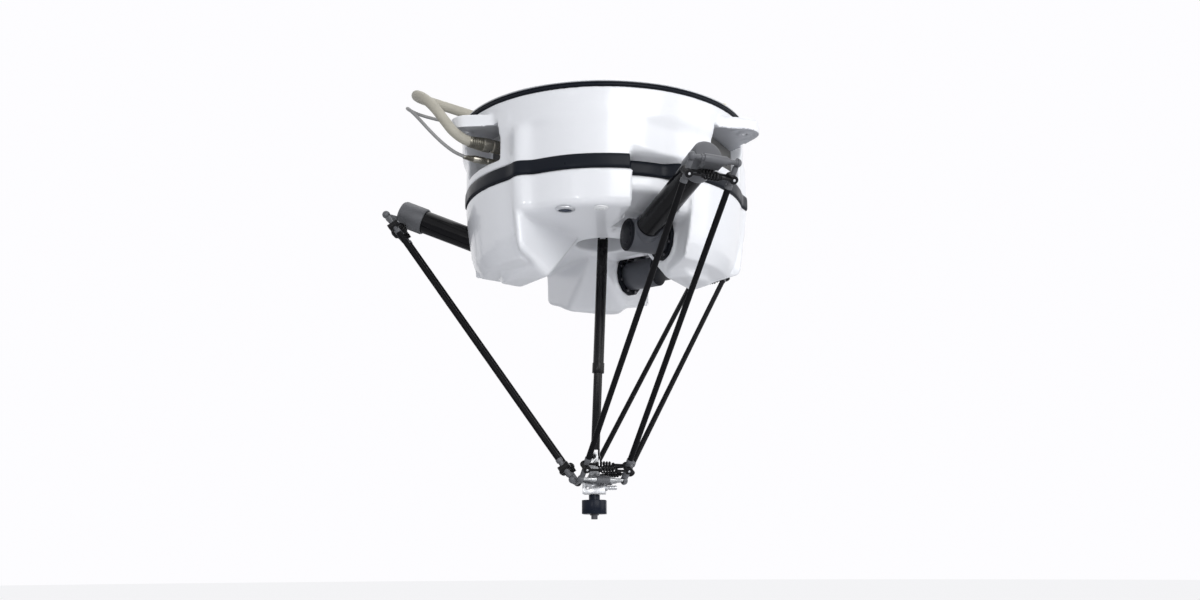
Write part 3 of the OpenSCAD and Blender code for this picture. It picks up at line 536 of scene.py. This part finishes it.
def rounded(points, radius, steps=3):
    """A closed outline with its corners cut back into short arcs."""
    out = []
    count = len(points)
    for i in range(count):
        p, q, r = (Vector(points[j % count]) for j in (i - 1, i, i + 1))
        back, on = p - q, r - q
        cut = min(radius, back.length * 0.45, on.length * 0.45)
        a, c = q + back.normalized() * cut, q + on.normalized() * cut
        for k in range(steps + 1):
            t = k / steps
            out.append(tuple(a * (1 - t) ** 2 + q * 2 * t * (1 - t) + c * t * t))
    return out


def joined(meshes):
    """One mesh from several, which are used up."""
    bm = bmesh.new()
    for mesh in meshes:
        bm.from_mesh(mesh)
        bpy.data.meshes.remove(mesh)
    whole = bpy.data.meshes.new("joined")
    bm.to_mesh(whole)
    bm.free()
    return whole


def eased(node, material, width):
    """A CAD piece with its hard edges broken, as machining and casting leave them."""
    bm = bmesh.new()
    bm.from_mesh(nodes[node].data)
    bmesh.ops.remove_doubles(bm, verts=bm.verts, dist=2e-6)
    bmesh.ops.dissolve_limit(
        bm, angle_limit=math.radians(1.0), verts=bm.verts, edges=bm.edges, use_dissolve_boundaries=False
    )
    mesh = bpy.data.meshes.new(node)
    bm.to_mesh(mesh)
    bm.free()
    settings = dict(width=width, segments=2, limit_method="ANGLE", angle_limit=math.radians(32))
    mesh = evaluated_copy(mesh, ("BEVEL", settings))
    piece = add_piece(node + "_eased", mesh, material, BODY_OF[node], sharp=40)
    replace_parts(piece, node)


def smoothstep(x, low, high):
    """0 up to low, 1 from high, and an easy curve between."""
    t = np.clip((x - low) / (high - low), 0.0, 1.0)
    return t * t * (3 - 2 * t)


# ---------------------------------------------------------------- housings

# Radii and angles of the housings, in millimetres and degrees
WALL = 348.0  # nominal outer wall
NOTCH = 300.0  # wall over and beside an arm
OVER_ARM = NOTCH + 1  # wall under the band, over an arm
TOP_FROM, TOP_AT = 205, 245  # heights between which the wall goes over to the nominal one
SKIN = 9  # thickness of the ring's wall beside a notch
LUG_PAST_ARM = 37.2
LEGS = {1: 180, 2: 300, 3: 60}  # azimuth of each arm
# Outer wall radius against the angle from the arm before it: the lobes stand a little
# inside the nominal wall, swell at their ends and drop back to the front sections.
WALL_ANGLES = (0, 8, 20, 35, 48, 56, 59, 61.5, 64, 67, 70, 75, 84, 106, 112, 120)
WALL_RADII = (336, 336, 337, 339, 340, 341, 347, 355, 351, 341, 340, 342, 345, 345, 341, 336)
# The wall over a notch, height above the motor axes against radius
OVER_NOTCH_Z = (110, 143, 145, 148, 152, 157, 166, 200, 300)
OVER_NOTCH_R = (300, 302, 312, 326, 336, 341, 344, 348, 352)
QUARTERS = 480  # quarter degrees from one arm to the next
CORNER_BLUR = 4.4  # spread of the smoothing of the wall's corners, in quarter degrees


def leg_angle(x, y):
    """Degrees past the arm before it, 0 to 120."""
    return (np.degrees(np.arctan2(y, x)) - 180.0) % 120.0


def wall_table():
    """The wall radii at every quarter degree, with the corners run smooth."""
    fine = np.arange(0, QUARTERS) * 0.25
    radii = np.interp(fine, WALL_ANGLES, WALL_RADII)
    kernel = np.exp(-0.5 * (np.arange(-24, 25) / CORNER_BLUR) ** 2)
    smooth = np.convolve(np.tile(radii, 3), kernel / kernel.sum(), mode="same")
    return fine, smooth[QUARTERS:2 * QUARTERS]


WALL_FINE = wall_table()


def wall_radius(angle):
    return np.interp(angle, *WALL_FINE, period=120)


def notch_weight(angle):
    """1 over an arm and 0 elsewhere: crisp at one end, a long easy curve at the other."""
    return np.maximum(1 - smoothstep(angle, 0.5, 12.0), smoothstep(angle, 104.6, 107.0))


def surface_radius(angle, height):
    """Radius of the white wall, height in millimetres above the motor axes."""
    wall = wall_radius(angle)
    wall = wall + (WALL - wall) * smoothstep(height, TOP_FROM, TOP_AT)
    over = np.minimum(np.interp(height, OVER_NOTCH_Z, OVER_NOTCH_R), wall)
    return wall + (over - wall) * notch_weight(angle)


def mesh_arrays(mesh):
    """Vertex positions and normals, one row each."""
    co = np.empty(len(mesh.vertices) * 3)
    mesh.vertices.foreach_get("co", co)
    normal = np.empty(len(mesh.vertices) * 3)
    mesh.vertices.foreach_get("normal", normal)
    return co.reshape(-1, 3), normal.reshape(-1, 3)


def reshaped(node, name, voxel, move, extra, passes):
    """A cast shell on a fine even mesh, drawn onto its smooth surfaces, edges rounded."""
    mesh = evaluated_copy(nodes[node].data.copy(), ("REMESH", dict(mode="VOXEL", voxel_size=voxel)))
    co, normal = mesh_arrays(mesh)
    mesh.vertices.foreach_set("co", move(co, normal).ravel())
    mesh.update()
    mesh = evaluated_copy(
        joined([mesh, *extra]),
        ("REMESH", dict(mode="VOXEL", voxel_size=voxel)),
        ("SMOOTH", dict(factor=0.5, iterations=passes)),
    )
    piece = add_piece(name, mesh, ("white_paint", "lug_grey"), "base", sharp=0)
    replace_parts(piece, node)
    return piece


def polar(co):
    """Each vertex's radius in metres, angle past its arm, and height above the motor axes."""
    height = (co[:, 2] + AXIS_DROP) / MM
    return np.hypot(co[:, 0], co[:, 1]), leg_angle(co[:, 0], co[:, 1]), height


def at_radius(co, r, fresh):
    """Moves the vertices from their radii to fresh ones, both in millimetres."""
    for axis in (0, 1):
        co[:, axis] *= fresh / np.maximum(r, 1e-6)


def move_upper(co, normal):
    """Upper ring: easy ramps beside each notch, swelling lobes, shallow lug undersides."""
    co = co.copy()
    radius, angle, height = polar(co)
    out = (co[:, 0] * normal[:, 0] + co[:, 1] * normal[:, 1]) / np.maximum(radius, 1e-6)
    r = radius / MM
    target = surface_radius(angle, height)
    # beside a notch the outer skin lies on the target and the inner one behind it
    near = ((angle < 14) | (angle > 58)) & (height < 268) & (r > 292)
    skin = near & (out > -0.3)
    inner = near & (out <= -0.3)
    fresh = np.where(skin & (np.abs(normal[:, 2]) < 0.95), target, r)
    fresh = np.where(inner, np.minimum(r, target - SKIN), fresh)
    # elsewhere the whole wall is drawn in or out, thickness and all
    else_wall = ~near & (r > 300)
    share = smoothstep(r, 300, 335) * (1 - smoothstep(height, TOP_FROM, TOP_AT))
    fresh = np.where(else_wall, r * (1 + (wall_radius(angle) / WALL - 1) * share), fresh)
    from_lug = np.abs(angle - LUG_PAST_ARM)
    lug = (r > 356) | ((r > 318) & (height > 246.5) & (height < 275) & (from_lug < 20))
    at_radius(co, r, np.where(lug, r, fresh))
    # the pocket under a lug is made shallow
    z = co[:, 2]
    recess = (r > 300) & (from_lug < 22) & (normal[:, 2] < 0.5) & (z > 0.0005) & (z < 0.024)
    co[:, 2] = np.where(recess, np.interp(z, (0, 0.0125, 0.024), (0, 0.0024, 0.024)), z)
    return co


# How far a lobe's outer wall has come in at each height above the motor axes
DRAFT_Z = (-50, -36, -17, 28, 70, 104)
DRAFT_IN = (31.0, 23.0, 17.5, 9.0, 3.5, 0.5)


def move_lower(co, _normal):
    """Lower housing: walls that follow the band, and lobes drawn in towards their foot."""
    co = co.copy()
    radius, angle, height = polar(co)
    r = radius / MM
    share = smoothstep(r, 250, 300)  # the inside of the housing stays
    wall = wall_radius(angle)
    ramp = notch_weight(angle) * smoothstep(height, 60, 100) * ((angle > 7.5) & (angle < 104.5))
    wall = wall + (OVER_ARM - wall) * ramp
    keep = (angle < 7.2) | (angle > 105.8)  # the notch and its cheeks
    lobe = smoothstep(angle, 2.0, 4.5) * (1 - smoothstep(angle, 56, 62))
    draft = lobe * np.interp(height, DRAFT_Z, DRAFT_IN)
    at_radius(co, r, np.where(keep, r - draft * share, r * (1 + ((wall - draft) / WALL - 1) * share)))
    return co


# Depth of a lobe's underside against its distance from the centre
UNDER_R = (200, 227, 250, 300, 318)
UNDER_Z = (-85, -80, -75, -65, -59)
SIDE_WALL = 66.0  # a drum's side wall stands this far from its arm's plane
FOOT_IN = 42.0  # and its underside ends this far inside the wall
DRUM_FROM, DRUM_TO = 12.0, 57.0  # a drum's ends, degrees past its arm
DRUM_INNER = 215.0


def lobe_drum(arm):
    """The drum-shaped outer part of a motor lobe, between its side wall and its crease."""
    rows = []
    for local in np.arange(DRUM_FROM, DRUM_TO + 0.1, 1.0):
        wall = float(wall_radius(local))
        inner = max(DRUM_INNER, SIDE_WALL / math.sin(math.radians(local)))
        profile = [(wall - d, z) for d, z in zip(DRAFT_IN, DRAFT_Z)]
        profile.append((inner, DRAFT_Z[-1]))
        for r in np.linspace(inner, wall - FOOT_IN, 6):
            profile.append((r, float(np.interp(r, UNDER_R, UNDER_Z))))
        a = math.radians(arm + local)
        rows.append([(r * MM * math.cos(a), r * MM * math.sin(a), from_motor(z)) for r, z in profile])
    return ring_mesh(rows, closed=False)


def lug_web(azimuth):
    """Closes the underside of a lug level with its seat, over the pocket."""
    c, s = math.cos(math.radians(azimuth)), math.sin(math.radians(azimuth))
    outline = [(286, -86), (330, -78), (366, -52), (366, 52), (330, 78), (286, 86)]
    rows = [
        [((x * c - y * s) * MM, (x * s + y * c) * MM, z * MM) for x, y in outline] for z in (1.6, 15.0)
    ]
    return ring_mesh(rows, closed=False)


reshaped(
    "lower_housing", "lower_shell", voxel=0.0034, move=move_lower,
    extra=[lobe_drum(azimuth) for azimuth in LEGS.values()], passes=10,
)
upper = reshaped(
    "housing_ring", "upper_shell", voxel=0.003, move=move_upper,
    extra=[lug_web(azimuth) for azimuth in LUG_AZIMUTHS], passes=5,
)
for polygon in upper.data.polygons:  # downward faces of the lugs get the grey finish instead of the white
    center = polygon.center
    if polygon.normal.z < -0.6 and abs(center.z) < 0.006 and center.xy.length > 0.30:
        polygon.material_index = 1


def add_band():
    """Rubber band over the joint: crowned, close to the wall, dipping in over the arms."""
    low, high = 110.4, 142.6  # its lower and upper edge
    section = [(-13, low), (-0.6, low), (1.4, low + 1.2), (2.3, low + 4.0), (2.7, low + 10), (2.7, high - 10),
               (2.3, high - 4.0), (1.4, high - 1.2), (-0.6, high), (-13, high)]
    rows = []
    steps = 960
    for k in range(steps):
        angle = 360.0 * k / steps
        local = np.array([(angle - 180.0) % 120.0])
        w = float(notch_weight(local)[0])
        wall = float(wall_radius(local)[0])
        base = wall + (OVER_ARM - wall) * w
        c, s = math.cos(math.radians(angle)), math.sin(math.radians(angle))
        rows.append([((base + d) * MM * c, (base + d) * MM * s, from_motor(z)) for d, z in section])
    band = add_piece("band", ring_mesh(rows), "rubber", "base", sharp=50)
    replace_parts(band, "band_seal")


def add_rim():
    """Lid seal with its groove."""
    seal = rounded([(337, 297.2), (351, 297.2), (354.6, 299), (354.6, 301.6), (353.2, 302.2), (353.2, 303.2),
                    (354.8, 303.8), (354.8, 305.8), (353, 306.9), (337, 306.9)], 0.6, 2)
    turned = lathe_mm(seal, (0, 0, -AXIS_DROP), UP, 240)
    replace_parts(add_piece("rim_seal", turned, "rubber", "base", sharp=50), "lid_seal")


add_band()
add_rim()
eased("lid", "lid_metal", 0.0008)

# ---------------------------------------------------------------- sight port and plug

PORT_AZIMUTH = 259.6
PLUG_AZIMUTH = 274.2
PORT_RADIUS = 312
PORT_FLOOR = 28  # underside of the floor there, above the motor axes


def at_port(azimuth):
    """A point on the floor's underside, on the ports' circle."""
    a = math.radians(azimuth)
    return (PORT_RADIUS * MM * math.cos(a), PORT_RADIUS * MM * math.sin(a), from_motor(PORT_FLOOR))


def add_ports():
    """Bezel and lens of the sight port, and the stepped white plug beside it."""
    here = at_port(PORT_AZIMUTH)
    ring = rounded([(15.0, 0.4), (15.0, -3.6), (16.2, -4.8), (19.4, -4.0), (21.6, -2.2), (22.0, 0.4)], 1.0)
    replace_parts(add_piece("port_bezel", lathe_mm(ring, here, UP, 64), "silver", "base"), "port_ring")
    glass = [(0.01, 0.3), (0.01, -1.6), (9, -1.4), (15.1, -0.6), (15.1, 0.3)]
    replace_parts(add_piece("port_lens", lathe_mm(glass, here, UP), "glass", "base"), "port_glass")
    plug = [(0.01, 0.4), (0.01, -4.6), (9.5, -4.4), (10.5, -2.6), (15.2, -2.4), (16.2, -1.4), (16.4, 0.4)]
    mesh = lathe_mm(rounded(plug, 0.7), at_port(PLUG_AZIMUTH), UP)
    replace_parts(add_piece("vent_plug", mesh, "white_plastic", "base"), "port_plug")


add_ports()

# ---------------------------------------------------------------- sockets and strain reliefs


def socket_frame(cord):
    """Middle of a socket's mouth and the direction out of it."""
    mouth = in_frame(at_socket(cord, 0))
    return mouth, (in_frame(at_socket(cord, 10)) - mouth).normalized()


def add_relief(name, cord, base, tip, length):
    """A tapered, ribbed sleeve where a cable leaves its connector."""
    mouth, out = socket_frame(cord)
    bore = cord["diameter"] / 2 - 0.4
    profile = [(bore, -1.0), (base, -1.0), (base, 3.0)]
    ribs = 6
    for k in range(ribs):
        start = 3.0 + (length - 5.0) * k / ribs
        end = 3.0 + (length - 5.0) * (k + 1) / ribs
        r = base + (tip - base) * (k + 0.5) / ribs
        profile += [(r - 1.1, start + 0.6), (r - 1.1, start + 1.6), (r, start + 2.2), (r, end - 0.3)]
    profile += [(tip - 0.6, length), (bore, length)]
    add_piece(name, lathe_mm(profile, mouth, out, 32), "gland", "base", sharp=50)


# Teeth of a coupling nut, their depth as a share of the radius, and where they lie
KNURL_TEETH = 24
KNURL_DEPTH = 0.022
KNURL_FROM, KNURL_TO = 6.5, 20.5


def add_connector(name, node, cord, radius, length):
    """A connector's stepped body with its knurled coupling nut."""
    mouth, out = socket_frame(cord)
    steps = [(0.86, 0), (0.86, 6), (1.04, 7), (1.04, 20), (0.84, 21.5), (0.84, 27), (0.95, 28), (0.95, 44),
             (0.80, 46), (0.80, 50), (1.0, 51)]  # share of the radius, height over the panel
    bore = cord["diameter"] / 2 + 0.1
    profile = [(0.01, -length)] + [(radius * share, -length + h) for share, h in steps]
    profile += [(radius, -1.5), (radius * 0.9, 0.0), (bore, 0.0), (bore, -16.0), (0.01, -16.0)]
    body = lathe_mm(profile, mouth, out)
    co, _ = mesh_arrays(body)
    turn = np.array(Vector(out).to_track_quat("Z", "Y").to_matrix())
    local = (co - np.array(mouth)) @ turn
    knurl = (local[:, 2] > (-length + KNURL_FROM) * MM) & (local[:, 2] < (-length + KNURL_TO) * MM)
    radial = np.hypot(local[:, 0], local[:, 1])
    tooth = 1 + KNURL_DEPTH * np.sign(np.sin(KNURL_TEETH * np.arctan2(local[:, 1], local[:, 0])))
    scale = np.where(knurl & (radial > 0.5 * radius * MM), tooth, 1.0)
    local[:, :2] *= scale[:, None]
    body.vertices.foreach_set("co", (local @ turn.T + np.array(mouth)).ravel())
    body.update()
    piece = add_piece(name, body, "connector", "base", sharp=30)
    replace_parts(piece, node)


add_connector("power_connector", "power_socket", POWER, 16.4, POWER["out"] - 5)
add_connector("signal_connector", "signal_socket", SIGNAL, 8.4, SIGNAL["out"] - 5)
add_relief("power_relief", POWER, 15.6, 12.9, 34)
add_relief("signal_relief", SIGNAL, 7.2, 4.7, 24)

# ---------------------------------------------------------------- springs

# In metres: the plate's centre, and the middle between the two balls of each elbow
PLATE = Vector((-0.024, 0.002, -0.790))
PLATE_R = 0.045
ELBOW_BALL = {
    1: (-0.532603, 0.0, -0.138028),
    2: (0.271256, -0.469829, -0.174989),
    3: (0.27089, 0.469195, -0.171593),
}
HALF_GAP = 0.053  # from the middle of a rod pair to a rod
SPRING_AT = 0.034  # springs' distance from the balls along the rods
SPRING_Z = 0.0115  # half the distance between the two springs of a unit
TURNS, STEPS = 6.0, 16
WIRE_R = 0.0021
COIL_R = 0.0058
COIL_LENGTH = 0.043
# Turned profiles of a spring's end stem, the clip round a rod, its ear and the pin's head
SPRING_STEM = [(0.0001, 0.0190), (0.0030, 0.0190), (0.0052, 0.0205), (0.0052, 0.0225), (0.0030, 0.0240),
               (0.0028, 0.0455), (0.0001, 0.0455)]
CLIP = [(0.0055, -0.0130), (0.0088, -0.0130), (0.0088, 0.0130), (0.0055, 0.0130)]
EAR = [(0.0030, 0.0086), (0.0092, 0.0086), (0.0092, 0.0136), (0.0030, 0.0136)]
PIN_HEAD = [(0.00005, 0.0100), (0.0029, 0.0100), (0.0029, 0.0136), (0.0024, 0.0142), (0.00005, 0.0144)]


def tube_along(points, radius, sides):
    """A round wire through the points."""
    rows = []
    last = len(points) - 1
    side = None
    for i, p in enumerate(points):
        along = (points[min(i + 1, last)] - points[max(i - 1, 0)]).normalized()
        if side is None:
            side = along.orthogonal()
        side = (side - along * side.dot(along)).normalized()
        other = along.cross(side)
        turns = [2 * math.pi * k / sides for k in range(sides)]
        rows.append([p + radius * (math.cos(a) * side + math.sin(a) * other) for a in turns])
    return ring_mesh(rows, closed=False)


def add_springs(leg):
    """Both spring units of a rod pair: wire coils, end hooks and clips round the pins."""
    azimuth = math.radians(LEGS[leg])
    outward = Vector((math.cos(azimuth), math.sin(azimuth), 0))
    across = Vector((-math.sin(azimuth), math.cos(azimuth), 0))
    top = Vector(ELBOW_BALL[leg])
    bottom = PLATE + outward * PLATE_R
    rod = (bottom - top).normalized()
    flat = (rod - across * rod.dot(across)).normalized()
    pin = flat.cross(across)
    black, bright = [], []
    for middle in (top + rod * SPRING_AT, bottom - rod * SPRING_AT):
        for level in (-1, 1):
            axis = middle + pin * level * SPRING_Z
            wire = []
            for k in range(int(TURNS * STEPS) + 1):
                t = k / (TURNS * STEPS)
                a = 2 * math.pi * TURNS * t
                reach = COIL_R * min(1.0, 6 * t, 6 * (1 - t))
                wire.append(axis + across * (t - 0.5) * COIL_LENGTH
                            + reach * (math.cos(a) * rod + math.sin(a) * pin))
            black.append(tube_along(wire, WIRE_R, 10))
            for side in (-1, 1):
                black.append(lathe(SPRING_STEM, axis, across * side, 16))
        for side in (-1, 1):
            clip_at = middle + across * side * HALF_GAP
            black.append(lathe(rounded(CLIP, 0.0014), clip_at, pin, 28))
            for end in (-1, 1):
                black.append(lathe(rounded(EAR, 0.0010), clip_at, pin * end, 28))
                bright.append(lathe(PIN_HEAD, clip_at, pin * end, 20))
    springs = add_piece(f"spring_units_{leg}", joined(black), "spring_black", BODY_OF[f"springs_{leg}"])
    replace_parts(springs, f"springs_{leg}")
    add_piece(f"spring_pins_{leg}", joined(bright), "silver", BODY_OF[f"springs_{leg}"])


for leg in LEGS:
    add_springs(leg)

# ---------------------------------------------------------------- castings with broken edges

# Width of each broken edge, in metres
for k in (1, 2, 3):
    eased(f"hub_{k}", "hub_grey", 0.0022)
    eased(f"hub_cap_{k}", "disc_dark", 0.0006)
    eased(f"elbow_{k}", "cast_grey", 0.0016)
    eased(f"rod_ends_{k}", "cast_grey", 0.0007)
for node, material, width in (
    ("plate", "cast_grey", 0.0010),
    ("plate_block", "silver", 0.0012),
    ("tool_yoke", "steel", 0.0010),
    ("swivel", "blue_black", 0.0012),
    ("nozzle", "dark_steel", 0.0008),
    ("hose_barb", "silver", 0.0004),
    ("flange_rings", "disc_dark", 0.0010),
    ("socket_panel", "panel", 0.0008),
    ("shaft_outer", "shaft_black", 0.0008),
    ("shaft_inner", "shaft_black", 0.0005),
    ("ball_bars", "steel", 0.0004),
    ("top_yoke", "steel", 0.0006),
    ("power_plug", "connector", 0.0008),
    ("signal_plug", "connector", 0.0005),
):
    eased(node, material, width)

# ---------------------------------------------------------------- stage and light

FLOOR_Z = -1.7
FLOOR_R = 40.0
FLOOR_GLOW = 0.85  # share of the plain background colour in what the camera sees of it


def floor_material():
    """A pale matt floor, lifted towards the white background, and clear from below."""
    shader = Shader("floor_pale", (0.88, 0.88, 0.89), 0.85).vary_color(2.0, 0.01)
    path = shader.nodes.new("ShaderNodeLightPath")
    glow = shader.nodes.new("ShaderNodeEmission")
    glow.inputs["Color"].default_value = (0.985, 0.985, 1.0, 1)
    share = shader.nodes.new("ShaderNodeMath")
    share.operation = "MULTIPLY"
    share.inputs[1].default_value = FLOOR_GLOW
    shader.links.new(path.outputs["Is Camera Ray"], share.inputs[0])
    mix = shader.nodes.new("ShaderNodeMixShader")
    shader.links.new(share.outputs[0], mix.inputs["Fac"])
    shader.links.new(shader.bsdf.outputs["BSDF"], mix.inputs[1])
    shader.links.new(glow.outputs["Emission"], mix.inputs[2])
    side = shader.nodes.new("ShaderNodeNewGeometry")
    clear = shader.nodes.new("ShaderNodeBsdfTransparent")
    under = shader.nodes.new("ShaderNodeMixShader")
    shader.links.new(side.outputs["Backfacing"], under.inputs["Fac"])
    shader.links.new(mix.outputs["Shader"], under.inputs[1])
    shader.links.new(clear.outputs["BSDF"], under.inputs[2])
    shader.links.new(under.outputs["Shader"], shader.nodes["Material Output"].inputs["Surface"])
    return shader.mat


def add_stage():
    """The floor, wide enough to reach the horizon."""
    mesh = bpy.data.meshes.new("floor")
    bm = bmesh.new()
    bmesh.ops.create_circle(bm, cap_ends=True, radius=FLOOR_R, segments=96)
    bm.to_mesh(mesh)
    bm.free()
    floor = bpy.data.objects.new("floor", mesh)
    floor.location = (0, 0, FLOOR_Z)
    scene.collection.objects.link(floor)
    mesh.materials.append(floor_material())


def add_light(name, at, target, size, power):
    """A white area lamp aimed at a target."""
    data = bpy.data.lights.new(name, "AREA")
    data.shape = "RECTANGLE"
    data.size, data.size_y = size
    data.energy = power
    lamp = bpy.data.objects.new(name, data)
    at, target = Vector(at), Vector(target)
    lamp.matrix_world = (
        Matrix.Translation(at) @ (target - at).to_track_quat("-Z", "Y").to_matrix().to_4x4()
    )
    scene.collection.objects.link(lamp)


SKY = (0.93, 0.95, 1.0, 1)  # colour of the light all round
SKY_STRENGTH = 0.44
BACKDROP = (0.985, 0.98, 1.0, 1)


def add_world():
    """Soft light all round, plain white where the camera, metal and glass see it."""
    world = bpy.data.worlds.new("studio")
    scene.world = world
    world.use_nodes = True
    tree = world.node_tree
    background = tree.nodes["Background"]
    background.inputs["Color"].default_value = SKY
    background.inputs["Strength"].default_value = SKY_STRENGTH
    white = tree.nodes.new("ShaderNodeBackground")
    white.inputs["Color"].default_value = BACKDROP
    white.inputs["Strength"].default_value = 1.0
    path = tree.nodes.new("ShaderNodeLightPath")
    mix = tree.nodes.new("ShaderNodeMixShader")
    seen = path.outputs["Is Camera Ray"]
    for kind in ("Is Glossy Ray", "Is Transmission Ray"):
        add = tree.nodes.new("ShaderNodeMath")
        add.operation = "MAXIMUM"
        tree.links.new(seen, add.inputs[0])
        tree.links.new(path.outputs[kind], add.inputs[1])
        seen = add.outputs[0]
    tree.links.new(seen, mix.inputs["Fac"])
    tree.links.new(background.outputs["Background"], mix.inputs[1])
    tree.links.new(white.outputs["Background"], mix.inputs[2])
    tree.links.new(mix.outputs["Shader"], tree.nodes["World Output"].inputs["Surface"])


add_stage()
add_light("key", (2.4, -4.4, 1.2), (0, 0, -0.2), (3.6, 3.0), 128)
add_light("side", (4.4, -0.8, 0.2), (0, 0, -0.2), (2.4, 3.0), 46)
add_light("top", (0.2, 0.4, 2.4), (0, 0, 0), (2.6, 2.2), 20)
add_light("spark", (-0.9, -3.2, -0.2), (0, 0, -0.2), (0.22, 0.22), 7)
add_world()
scene.view_settings.view_transform = "Standard"
